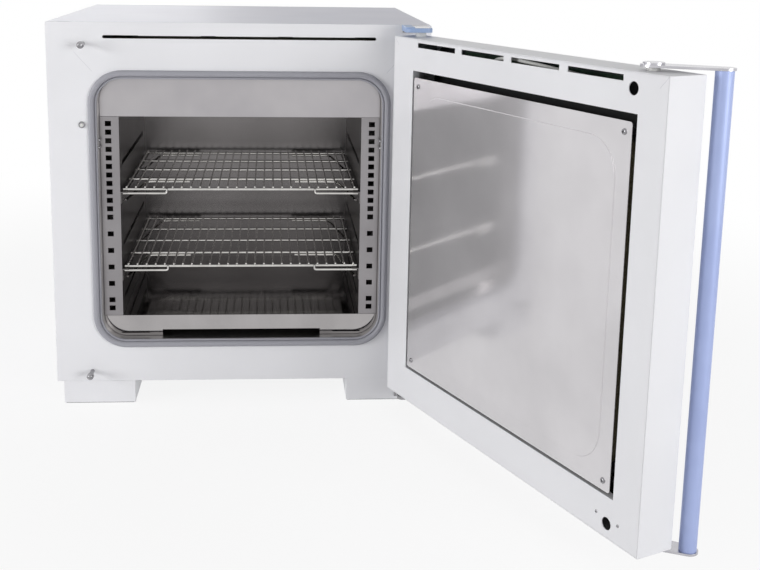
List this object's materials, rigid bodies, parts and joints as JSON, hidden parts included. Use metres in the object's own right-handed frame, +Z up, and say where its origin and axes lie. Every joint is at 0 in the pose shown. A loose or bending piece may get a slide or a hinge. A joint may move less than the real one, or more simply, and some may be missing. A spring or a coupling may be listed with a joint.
{
  "type": "hot air sterilizer",
  "caption": "Bench hot air sterilizer: insulated cabinet with a steel chamber, wire shelves on rails, and a hinged door with a tube handle that works two latch hooks.",
  "frame": {"origin": "middle of the cabinet's footprint, on the surface that the feet stand on", "axes": "+X to the right as seen from the front, +Y to the back, +Z up; the front face looks along -Y"},
  "size_m": [0.8938, 1.1826, 0.6455],
  "materials": {
    "casing_paint": "satin",
    "front_paint": "satin",
    "galvanised_sheet": "matte",
    "liner_steel": "satin",
    "chamber_steel": "satin",
    "panel_steel": "satin",
    "wire_steel": "polished",
    "heater_steel": "satin",
    "pin_steel": "satin",
    "arm_steel": "satin",
    "seal_silicone": "matte",
    "mineral_wool": "matte",
    "black_plastic": "matte",
    "white_plastic": "satin",
    "bearing_plastic": "satin",
    "blue_plastic": "satin",
    "blue_paint": "gloss",
    "board_green": "satin",
    "fascia_film": "satin",
    "display_glass": "gloss",
    "pad_rubber": "matte"
  },
  "bodies": {
    "cabinet": {"outer_casing": "casing_paint", "front_frame": "front_paint", "base_plate": "galvanised_sheet", "rear_cover": "galvanised_sheet", "chamber_liner": "liner_steel", "door_seal": "seal_silicone", "left_side_duct": "chamber_steel", "right_side_duct": "chamber_steel", "chamber_floor": "chamber_steel", "chamber_ceiling": "chamber_steel", "rear_baffle": "chamber_steel", "left_shelf_rails": "chamber_steel", "right_shelf_rails": "chamber_steel", "bottom_heater": "heater_steel", "temperature_probe": "heater_steel", "insulation": "mineral_wool", "exhaust_stub": "chamber_steel", "mains_inlet": "black_plastic", "power_board": "board_green", "latch_studs": "pin_steel", "contact_housing": "black_plastic", "front_left_foot": "front_paint", "front_right_foot": "front_paint", "rear_left_foot": "front_paint", "rear_right_foot": "front_paint", "foot_pads": "pad_rubber", "hinge_brackets": "pin_steel", "hinge_pins": "pin_steel", "hinge_cap": "blue_plastic"},
    "air_flap": {"flap_disc": "chamber_steel", "flap_spindle": "pin_steel", "flap_knob": "black_plastic"},
    "door_contact": {"contact_plunger": "white_plastic"},
    "upper_shelf": {"upper_shelf": "wire_steel"},
    "lower_shelf": {"lower_shelf": "wire_steel"},
    "door": {"door_shell": "front_paint", "door_inner_frame": "front_paint", "door_inner_panel": "panel_steel", "panel_pillars": "pin_steel", "door_insulation": "mineral_wool", "door_hinge_blocks": "galvanised_sheet", "door_hinge_bushes": "bearing_plastic", "shaft_bushes": "bearing_plastic", "control_fascia": "fascia_film", "display_window": "display_glass", "control_board": "board_green"},
    "handle": {"handle_tube": "blue_paint", "handle_arms": "arm_steel", "latch_shaft": "pin_steel", "pivot_caps": "arm_steel", "latch_hooks": "pin_steel"}
  },
  "joints": [
    {"name": "door_hinge", "type": "hinge", "parent": "cabinet", "child": "door", "pos_m": [0.2875, -0.3125, 0], "axis": [0, 0, 1], "range_deg": [-113.8, 61.2]},
    {"name": "handle_turn", "type": "hinge", "parent": "door", "child": "handle", "pos_m": [0.49886, -0.80783, 0], "axis": [0, 0, 1], "range_deg": [0, 30]},
    {"name": "upper_shelf_slide", "type": "slide", "parent": "cabinet", "child": "upper_shelf", "axis": [0, -1, 0], "range_m": [0, 0.25]},
    {"name": "lower_shelf_slide", "type": "slide", "parent": "cabinet", "child": "lower_shelf", "axis": [0, -1, 0], "range_m": [0, 0.25]},
    {"name": "air_flap_turn", "type": "hinge", "parent": "cabinet", "child": "air_flap", "pos_m": [0, 0.286, 0.505], "axis": [0, 0, 1], "range_deg": [0, 90]},
    {"name": "door_contact_press", "type": "slide", "parent": "cabinet", "child": "door_contact", "axis": [0, 1, 0], "range_m": [0, 0.004], "stiffness_N_per_m": 150, "springref_m": -0.002}
  ]
}
